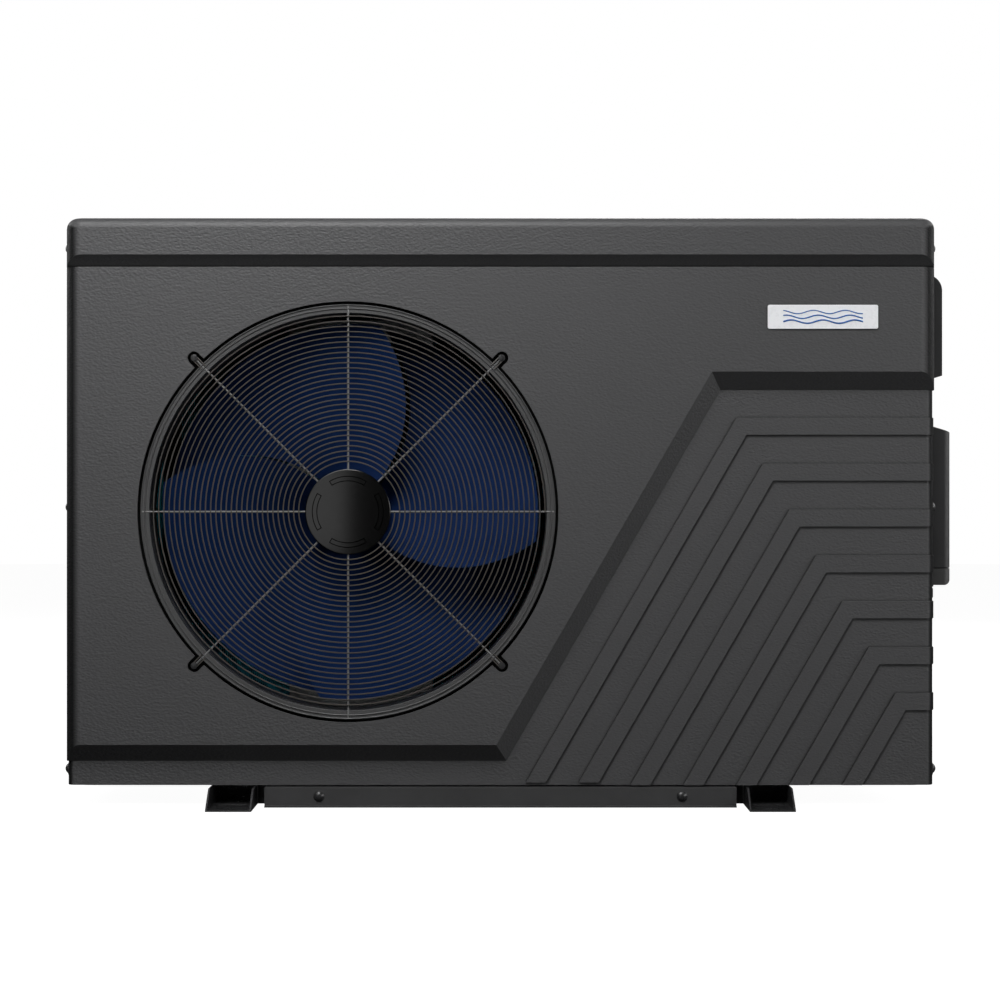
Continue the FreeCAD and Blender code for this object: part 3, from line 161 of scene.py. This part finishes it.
def surface(name, color, rough, grain, metal=0.0, mottle=0.08, rough_spread=0.08, wear=0.0,
            stretch=(1, 1, 1), specular=0.5, coat=0.0, side_shade=0.0, seam_shade=0.0,
            crevice=False):
    """Principled material with mottled colour, uneven roughness and a fine grain.
    grain is (size in mm, height in mm); side_shade paints shade on upright corners; seam_shade
    paints shade into inner corners and creases; crevice paints shade into narrow grooves by taking
    out their shine."""
    material = bpy.data.materials.new(name)
    material.use_nodes = True
    tree = material.node_tree
    shader = tree.nodes["Principled BSDF"]
    shader.inputs["Metallic"].default_value = metal
    shader.inputs["Specular IOR Level"].default_value = specular
    shader.inputs["Coat Weight"].default_value = coat
    place = node(tree, "ShaderNodeTexCoord")
    scaled = node(tree, "ShaderNodeMapping")
    scaled.inputs["Scale"].default_value = stretch
    tree.links.new(place.outputs["Object"], scaled.inputs["Vector"])
    cloud = node(tree, "ShaderNodeTexNoise", Scale=CLOUD_SCALE, Detail=4.0, Roughness=0.6)
    tree.links.new(scaled.outputs["Vector"], cloud.inputs["Vector"])
    fine = node(tree, "ShaderNodeTexNoise", Scale=SPECK_SCALE, Detail=3.0, Roughness=0.65)
    tree.links.new(scaled.outputs["Vector"], fine.inputs["Vector"])
    base = mix(tree, ramp(tree, cloud.outputs["Fac"], 0.3, 0.7, 0, 1),
               tint(color, 1 - mottle), tint(color, 1 + mottle))
    speck = ramp(tree, fine.outputs["Fac"], 0.35, 0.65, 0.0, 0.35)
    base = mix(tree, speck, base, tint(color, 1 + 1.6 * mottle))
    rough_value = ramp(
        tree, fine.outputs["Fac"], 0.3, 0.7, rough - rough_spread, rough + rough_spread)
    if wear:
        base = worn_edges(tree, base, color, wear)
    if crevice:
        # Painted shade: the shine is taken out of narrow grooves from ambient occlusion
        groove_occlusion = node(tree, "ShaderNodeAmbientOcclusion", samples=8, Distance=GROOVE_REACH)
        shine = ramp(tree, groove_occlusion.outputs["AO"], 0.55, 0.95, 0.0, specular)
        tree.links.new(shine, shader.inputs["Specular IOR Level"])
    if side_shade:
        base = paint_corner_shade(tree, base, color, side_shade, specular, shader)
    if seam_shade:
        # Painted shade: inner corners and creases are darkened from ambient occlusion
        crease_occlusion = node(tree, "ShaderNodeAmbientOcclusion", samples=6, Distance=CREASE_SHADE_REACH)
        crease_shade_mask = ramp(tree, crease_occlusion.outputs["AO"], 0.90, 0.45, 0.0, seam_shade)
        base = mix(tree, crease_shade_mask, base, tint(color, 0.05))
    tree.links.new(base, shader.inputs["Base Color"])
    tree.links.new(rough_value, shader.inputs["Roughness"])
    moulded_grain(tree, scaled.outputs["Vector"], *grain, shader)
    return material


ABS = (0.064, 0.064, 0.066)
LOOKS = {
    # The casing gets painted shade on its upright corners and in its inner corners and creases
    "casing": surface("casing", ABS, 0.5, grain=(1.9, 0.30), mottle=0.02, wear=0.08,
                      side_shade=0.88, seam_shade=0.85),
    "grille": surface("grille", (0.05, 0.05, 0.052), 0.5, grain=(1.4, 0.08), wear=0.1),
    "galvanised": surface("galvanised", (0.42, 0.43, 0.44), 0.42, metal=0.9, grain=(9.0, 0.03),
                          mottle=0.16, rough_spread=0.12),
    "foot_paint": surface("foot_paint", (0.022, 0.022, 0.023), 0.32, grain=(0.9, 0.02), mottle=0.3,
                          wear=0.2, coat=0.3),
    "beam_paint": surface("beam_paint", (0.042, 0.042, 0.043), 0.55, grain=(0.8, 0.09), mottle=0.2,
                          wear=0.1),
    "screw": surface("screw", (0.035, 0.035, 0.036), 0.3, metal=0.3, grain=(0.5, 0.01),
                     mottle=0.15),
    "badge": surface("badge", (0.95, 0.96, 0.98), 0.3, grain=(4.0, 0.004), mottle=0.01, coat=0.3),
    "guard_coat": surface("guard_coat", (0.062, 0.062, 0.063), 0.5, grain=(0.7, 0.02),
                          mottle=0.08),
    # The cap gets painted shade in its grooves, where their shine is taken out
    "guard_cap": surface("guard_cap", (0.002, 0.002, 0.002), 0.15, grain=(0.8, 0.002), mottle=0.06,
                         rough_spread=0.02, crevice=True),
    "inner_black": surface("inner_black", (0.012, 0.012, 0.013), 0.5, grain=(1.2, 0.05),
                           mottle=0.2),
    "blade": surface("blade", (0.0085, 0.024, 0.086), 0.8, grain=(1.2, 0.03), mottle=0.10,
                     specular=0.03),
    "motor_paint": surface("motor_paint", (0.02, 0.02, 0.022), 0.4, grain=(1.0, 0.04), mottle=0.2),
    "coil_fin": surface("coil_fin", (0.02, 0.48, 0.62), 0.5, grain=(1.0, 0.02), mottle=0.25),
    "copper": surface("copper", (0.62, 0.27, 0.13), 0.3, metal=1.0, grain=(3.0, 0.01), mottle=0.2),
    "brass": surface("brass", (0.55, 0.38, 0.14), 0.32, metal=1.0, grain=(0.8, 0.01), mottle=0.12),
    "compressor_paint": surface("compressor_paint", (0.010, 0.010, 0.010), 0.35, grain=(1.4, 0.03),
                                mottle=0.3),
    "grommet": surface("grommet", (0.015, 0.015, 0.015), 0.7, grain=(0.6, 0.05), mottle=0.25),
    "exchanger_shell": surface("exchanger_shell", (0.03, 0.03, 0.033), 0.45, grain=(2.0, 0.03)),
    "union": surface("union", (0.055, 0.057, 0.06), 0.42, grain=(1.0, 0.03), mottle=0.10,
                     wear=0.15),
    "board": surface("board", (0.01, 0.10, 0.035), 0.35, grain=(2.0, 0.02), mottle=0.2),
    "heatsink": surface("heatsink", (0.6, 0.6, 0.62), 0.35, metal=1.0, grain=(0.6, 0.02),
                        stretch=(1, 0.05, 1)),
    "terminal_case": surface("terminal_case", (0.026, 0.026, 0.027), 0.5, grain=(1.3, 0.08),
                             mottle=0.12, wear=0.2),
    "terminal_base": surface("terminal_base", (0.05, 0.05, 0.05), 0.5, grain=(1.3, 0.08),
                             mottle=0.10, wear=0.2),
    "flap": surface("flap", (0.022, 0.022, 0.024), 0.28, grain=(1.0, 0.01), mottle=0.1, coat=0.3),
    "display": surface("display", (0.006, 0.007, 0.010), 0.08, grain=(6.0, 0.002), mottle=0.2,
                       coat=0.5),
    "key": surface("key", (0.25, 0.26, 0.27), 0.55, grain=(0.6, 0.02), mottle=0.06),
    "motif": surface("motif", (0.01, 0.12, 0.42), 0.25, grain=(2.0, 0.004), mottle=0.08),
    "wire": surface("wire", (0.058, 0.052, 0.047), 0.4, grain=(0.7, 0.015), mottle=0.12),
    # Painted highlight: the spokes share the guard coat with the wire but are painted lighter
    "spoke_highlight": surface("spoke_highlight", (0.17, 0.17, 0.17), 0.34, grain=(0.7, 0.015), mottle=0.10),
    # Near-black colour for the sheet that stands in for the shade in the gap round the guard
    "gap_shade": surface("gap_shade", (0.003, 0.003, 0.003), 0.9, grain=(1.2, 0.02), mottle=0.2,
                      specular=0.1),
}


def paint(thing, look):
    thing.data.materials.clear()
    thing.data.materials.append(LOOKS[look])


# ---------------------------------------------------------------- mesh helpers

def piece(name, build, look, body, *replaced, smooth=35, bevel=0.0, record_slot=None):
    """New mesh object built by build(bm), painted, riding a body and standing for CAD nodes."""
    mesh = bpy.data.meshes.new(name)
    bm = bmesh.new()
    build(bm)
    bmesh.ops.recalc_face_normals(bm, faces=bm.faces)
    bm.to_mesh(mesh)
    bm.free()
    made = bpy.data.objects.new(name, mesh)
    bpy.context.scene.collection.objects.link(made)
    shade(made, smooth)
    if bevel:
        add_bevel(made, bevel)
    paint(made, look)
    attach(made, body)
    if replaced:
        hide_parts(*replaced)
    return made


def shade(thing, angle):
    """Smooth shading with edges sharper than the angle kept crisp."""
    for face in thing.data.polygons:
        face.use_smooth = True
    thing.data.set_sharp_from_angle(angle=math.radians(angle))


def add_bevel(thing, width, segments=2, angle=28):
    bevel = thing.modifiers.new("rounding", "BEVEL")
    bevel.width = width
    bevel.segments = segments
    bevel.limit_method = "ANGLE"
    bevel.angle_limit = math.radians(angle)
    bevel.use_clamp_overlap = True


def tube(bm, points, radius, sides=8, closed=False):
    """Round wire along a list of points."""
    rings = []
    count = len(points)
    for index, point in enumerate(points):
        before = points[index - 1] if index or closed else point
        after = points[(index + 1) % count] if index + 1 < count or closed else point
        along = (after - before).normalized()
        side = along.cross(Vector((0, 1, 0)))
        if side.length < 1e-4:
            side = along.cross(Vector((1, 0, 0)))
        side.normalize()
        up = side.cross(along)
        rings.append([
            bm.verts.new(point + radius * (math.cos(a) * side + math.sin(a) * up))
            for a in (2 * math.pi * k / sides for k in range(sides))
        ])
    pairs = list(zip(rings, rings[1:]))
    if closed:
        pairs.append((rings[-1], rings[0]))
    for first, second in pairs:
        for k in range(sides):
            j = (k + 1) % sides
            bm.faces.new((first[k], first[j], second[j], second[k]))
    if not closed:
        bm.faces.new(rings[0])
        bm.faces.new(list(reversed(rings[-1])))


def lathe(bm, profile, centre, steps=128):
    """Closed ring turned about the fan's axis; profile is (radius, y) points."""
    rings = []
    for index in range(steps):
        turn = 2 * math.pi * index / steps
        rings.append([
            bm.verts.new((centre.x + r * math.cos(turn), y, centre.z + r * math.sin(turn)))
            for r, y in profile
        ])
    for index in range(steps):
        first, second = rings[index], rings[(index + 1) % steps]
        for k in range(len(profile)):
            j = (k + 1) % len(profile)
            bm.faces.new((first[k], first[j], second[j], second[k]))


def block(bm, low, high):
    x0, y0, z0 = low
    x1, y1, z1 = high
    corners = [bm.verts.new(p) for p in (
        (x0, y0, z0), (x1, y0, z0), (x1, y1, z0), (x0, y1, z0),
        (x0, y0, z1), (x1, y0, z1), (x1, y1, z1), (x0, y1, z1))]
    sides = ((0, 3, 2, 1), (4, 5, 6, 7), (0, 1, 5, 4), (1, 2, 6, 5), (2, 3, 7, 6), (3, 0, 4, 7))
    for side in sides:
        bm.faces.new([corners[i] for i in side])


def polar(radius, degrees, y):
    """Point at a radius and angle about the fan's axis."""
    turn = math.radians(degrees)
    return Vector((FAN.x + radius * math.cos(turn), y, FAN.z + radius * math.sin(turn)))


def outward(degrees):
    """Unit direction away from the fan's axis."""
    return polar(1.0, degrees, 0) - polar(0.0, degrees, 0)


# ---------------------------------------------------------------- carried-over CAD nodes

BEVELS = {
    "front_panel": 1.3, "top_cover": 0.8, "left_side_grille": 0.5, "rear_grille": 0.5,
    "right_side_panel": 0.8, "left_foot": 0.5, "right_foot": 0.5, "front_beam": 0.6,
    "rear_beam": 0.6, "terminal_cover": 1.0, "terminal_tray": 0.8, "controller_housing": 0.8,
    "controller_flap": 0.6, "badge_plate": 0.3, "water_inlet_port": 0.5,
    "water_outlet_port": 0.5, "inlet_union_nut": 0.8, "outlet_union_nut": 0.8,
    "inlet_tailpiece": 0.6, "outlet_tailpiece": 0.6, "cable_gland": 0.5, "fan_impeller": 0.5,
    "fan_motor": 0.6, "motor_bracket": 0.4, "display_panel": 0.3,
}
slots = {s["node"]: s["material_slot"] for s in frame["record"]["subparts"]}
for name, thing in NODES.items():
    paint(thing, slots[name])
    if name in BEVELS:
        weld = thing.modifiers.new("weld", "WELD")
        weld.merge_threshold = 1e-5
        flat = thing.modifiers.new("flatten", "DECIMATE")
        flat.decimate_type = "DISSOLVE"
        flat.angle_limit = math.radians(0.4)
        add_bevel(thing, BEVELS[name] * MM)
        normals = thing.modifiers.new("normals", "WEIGHTED_NORMAL")
        normals.keep_sharp = False


# ---------------------------------------------------------------- fan guard

GUARD_RIM = 0.2282
RIM_IN = 0.2185
RIM_SETBACK = 0.0022
BEAD_INSETS = (0.0010, 0.0048)
BEAD_HALF = 0.0008
BEAD_HEIGHT = 0.0011
WIRE_R = 0.00078
PITCH = 0.00570
SPIRAL_STEPS = 96
SPOKES = 8
ROOT_LAP = 0.010
SPIRAL_START = RIM_IN - 0.002
SPOKE_R = 0.00115
EAR_R = 0.2390
EAR_LOOP_R = 0.0027
EAR_LOOP_SETBACK = 0.0012
EAR_GAP_SHADE_R = 0.0071
GROOVE_REACH_OUT = 0.0072
GAP_SHADE_THICK = 0.0016
SLIVER = 0.0001


def guard_rim(bm):
    """Flat band with two fine raised beads along it."""
    y = GUARD_Y + RIM_SETBACK
    back = rim_high.y
    profile = [(GUARD_RIM, back), (GUARD_RIM, y)]
    shoulder = 0.0005
    for inset in BEAD_INSETS:
        middle = GUARD_RIM - inset
        profile += [
            (middle + BEAD_HALF, y), (middle + shoulder, y - 0.0008), (middle, y - BEAD_HEIGHT),
            (middle - shoulder, y - 0.0008), (middle - BEAD_HALF, y),
        ]
    edge = 0.0004
    profile += [(RIM_IN + edge, y), (RIM_IN, y + edge), (RIM_IN, back)]
    lathe(bm, profile, FAN, 240)


def guard_spiral(bm):
    """One wire wound from the rim in to the cap."""
    turns = int((SPIRAL_START - CAP_R) / PITCH)
    points = []
    for index in range(turns * SPIRAL_STEPS + 1):
        radius = SPIRAL_START - PITCH * index / SPIRAL_STEPS
        points.append(polar(radius, 360 * index / SPIRAL_STEPS, GUARD_Y + WIRE_R))
    tube(bm, points, WIRE_R, 6)


def guard_spokes(bm):
    """Eight rods behind the spiral; every second one ends in a loop in a corner ear."""
    y = GUARD_Y + 2 * WIRE_R + SPOKE_R
    for index in range(SPOKES):
        out = outward(45 * index)
        inner = FAN + out * (CAP_R - ROOT_LAP)
        end = FAN + out * (EAR_R if index % 2 else GUARD_RIM - 0.0012)
        inner.y = end.y = y
        tube(bm, [inner, end], SPOKE_R, 10)


def ear_loops(bm):
    """Bent wire round the end of each diagonal rod."""
    y = GUARD_Y + EAR_LOOP_SETBACK
    for index in range(4):
        out = outward(45 + 90 * index)
        side = out.cross(Vector((0, 1, 0)))
        centre = FAN + out * (EAR_R + 0.0002)
        centre.y = y
        foot = out * (EAR_R - GUARD_RIM + 0.004)
        bend = [
            centre + EAR_LOOP_R * (out * math.sin(a) + side * math.cos(a))
            for a in (math.pi * k / 10 for k in range(11))
        ]
        points = [centre + side * EAR_LOOP_R - foot] + bend
        points.append(centre - side * EAR_LOOP_R - foot)
        tube(bm, points, WIRE_R * 0.9, 8)


def gap_shade_sheet(bm):
    """Near-black sheet behind the gap round the guard and its four ears, standing in for the shade
    in the gap.
    """
    y = rim_high.y - GAP_SHADE_THICK
    inner = GUARD_RIM + SLIVER
    outer = GUARD_RIM + GROOVE_REACH_OUT
    back = rim_high.y - 2 * SLIVER
    lathe(bm, [(outer, back), (outer, y), (inner, y), (inner, back)], FAN, 180)
    centre = 3 * SLIVER
    front = y - SLIVER
    back = rim_high.y - SLIVER
    for index in range(4):
        lathe(bm, [
            (EAR_GAP_SHADE_R, back), (EAR_GAP_SHADE_R, front), (centre, front), (centre, back),
        ], polar(EAR_R, 45 + 90 * index, 0), 32)


piece("guard_rim", guard_rim, "guard_coat", "unit", "fan_guard")
piece("guard_spiral", guard_spiral, "wire", "unit", record_slot="guard_coat")
piece("guard_spokes", guard_spokes, "spoke_highlight", "unit", record_slot="guard_coat")
piece("ear_loops", ear_loops, "wire", "unit", record_slot="guard_coat")
piece("gap_shade_sheet", gap_shade_sheet, "gap_shade", "unit", record_slot="inner_black")


# ---------------------------------------------------------------- coil fins

FIN_PITCH = 0.0026
FIN_THICK = 0.00035
COIL_DEPTH = 0.040
COIL_BEND = 0.060


def coil_fins(bm):
    """Single upright fins on the rear and left runs of the coil."""
    x = fins_low.x + COIL_BEND
    while x < fins_high.x:
        block(bm, (x, fins_high.y - COIL_DEPTH, fins_low.z),
              (x + FIN_THICK, fins_high.y, fins_high.z))
        x += FIN_PITCH
    y = fins_low.y
    while y < fins_high.y - COIL_BEND:
        block(bm, (fins_low.x, y, fins_low.z),
              (fins_low.x + COIL_DEPTH, y + FIN_THICK, fins_high.z))
        y += FIN_PITCH


def coil_shade_sheet(bm):
    """Dark sheet in the middle of the fin pack, standing in for the shade inside the coil; it
    keeps light from passing through it.
    """
    middle = COIL_DEPTH / 2
    half = 0.0006
    x0 = fins_low.x + middle
    y1 = fins_high.y - middle
    block(bm, (x0 - half, y1 - half, fins_low.z), (fins_high.x, y1 + half, fins_high.z))
    block(bm, (x0 - half, fins_low.y, fins_low.z), (x0 + half, y1 + half, fins_high.z))


piece("coil_fins", coil_fins, "coil_fin", "unit", "evaporator_fins")
piece("coil_shade_sheet", coil_shade_sheet, "inner_black", "unit")


# ---------------------------------------------------------------- badge motif

def waves(bm):
    """Three raised waves on the badge."""
    width = badge_high.x - badge_low.x
    height = badge_high.z - badge_low.z
    for row in range(3):
        z = badge_low.z + height * (0.30 + 0.20 * row)
        start = badge_low.x + width * 0.14
        reach = width * 0.72
        points = []
        for k in range(61):
            t = k / 60
            lift = 0.07 * height * math.sin(2 * math.pi * (2.5 * t + 0.15 * row))
            points.append(Vector((start + reach * t, badge_low.y + 0.0001, z + lift)))
        tube(bm, points, 0.0009 - 0.00012 * row, 6)


piece("badge_waves", waves, "motif", "unit", record_slot="badge")


# ---------------------------------------------------------------- studio

def backdrop(name, mesh, material):
    """Stage surface that the camera sees but that throws no light back at the object."""
    made = bpy.data.objects.new(name, mesh)
    bpy.context.scene.collection.objects.link(made)
    made.data.materials.append(material)
    made.visible_diffuse = False
    made.visible_glossy = False
    made.visible_transmission = False
    return made


def softbox(name, turn, rise, reach, size, power):
    """Area light at an azimuth and elevation in degrees about the middle of the front."""
    azimuth, elevation = math.radians(turn), math.radians(rise)
    target = Vector((0, FRONT_Y, FAN.z))
    place = target + reach * Vector((
        math.sin(azimuth) * math.cos(elevation),
        -math.cos(azimuth) * math.cos(elevation),
        math.sin(elevation),
    ))
    light = bpy.data.lights.new(name, "AREA")
    light.shape = "RECTANGLE"
    light.size, light.size_y = size
    light.energy = power
    made = bpy.data.objects.new(name, light)
    made.location = place
    made.rotation_euler = (target - place).to_track_quat("-Z", "Y").to_euler()
    bpy.context.scene.collection.objects.link(made)
    return made


def pale(name, color, glow):
    """Matt off-white studio paper with a little glow."""
    look = bpy.data.materials.new(name)
    look.use_nodes = True
    shader = look.node_tree.nodes["Principled BSDF"]
    shader.inputs["Base Color"].default_value = color
    shader.inputs["Roughness"].default_value = 0.9
    shader.inputs["Specular IOR Level"].default_value = 0.0
    shader.inputs["Emission Color"].default_value = (1, 1, 1, 1)
    shader.inputs["Emission Strength"].default_value = glow
    return look


ROOM_R = 9.0
ROOM_HEIGHT = 9.0
ROOM_STEPS = 96
floor_mesh = bpy.data.meshes.new("floor")
wall_mesh = bpy.data.meshes.new("wall")
round_points = [
    Vector((ROOM_R * math.cos(a), ROOM_R * math.sin(a), 0))
    for a in (2 * math.pi * k / ROOM_STEPS for k in range(ROOM_STEPS))
]
floor_mesh.from_pydata(round_points, [], [tuple(range(ROOM_STEPS))])
wall_mesh.from_pydata(
    round_points + [p + Vector((0, 0, ROOM_HEIGHT)) for p in round_points], [],
    [
        (k, (k + 1) % ROOM_STEPS, ROOM_STEPS + (k + 1) % ROOM_STEPS, ROOM_STEPS + k)
        for k in range(ROOM_STEPS)
    ],
)
backdrop("floor", floor_mesh, pale("floor", (0.18, 0.18, 0.18, 1), 0.97))
wall = backdrop("wall", wall_mesh, pale("wall", (0.0, 0.0, 0.0, 1), 1.0))
wall.visible_shadow = False

world = bpy.data.worlds.new("studio")
world.use_nodes = True
bpy.context.scene.world = world
sky = world.node_tree.nodes["Background"]
sky.inputs["Color"].default_value = (1, 1, 1, 1)
sky.inputs["Strength"].default_value = 0.02

softbox("key", -8, 55, 2.6, (0.9, 0.9), 32)
softbox("left_key", -30, 45, 1.5, (0.9, 0.9), 11)
softbox("left_fill", -50, 32, 2.6, (0.9, 0.9), 5)
# Gives the guard's cap its light left half and no more
front_fill = softbox("front_fill", -19, 3, 2.7, (1.0, 1.1), 3.4)
front_fill.visible_diffuse = False
softbox("right_fill", 50, 8, 2.6, (0.9, 0.9), 10.5)
softbox("right_rim", 80, 8, 2.6, (0.9, 0.9), 13)
softbox("right_side", 112, 20, 2.6, (1.2, 1.2), 14)
softbox("left_side", -112, 20, 2.6, (1.2, 1.2), 14)
softbox("back", 165, 30, 3.0, (1.4, 1.4), 38)

camera_data = bpy.data.cameras.new("camera")
camera_data.sensor_width = 36
camera_data.lens = 65.6
camera_data.shift_x = -0.0012
camera_data.shift_y = 0.008
camera_data.clip_start = 0.05
camera = bpy.data.objects.new("camera", camera_data)
camera.location = (0.0008, -2.175, 0.3302)
camera.rotation_euler = (math.radians(90), 0, 0)
bpy.context.scene.collection.objects.link(camera)
bpy.context.scene.camera = camera
bpy.context.scene.view_settings.view_transform = "Standard"
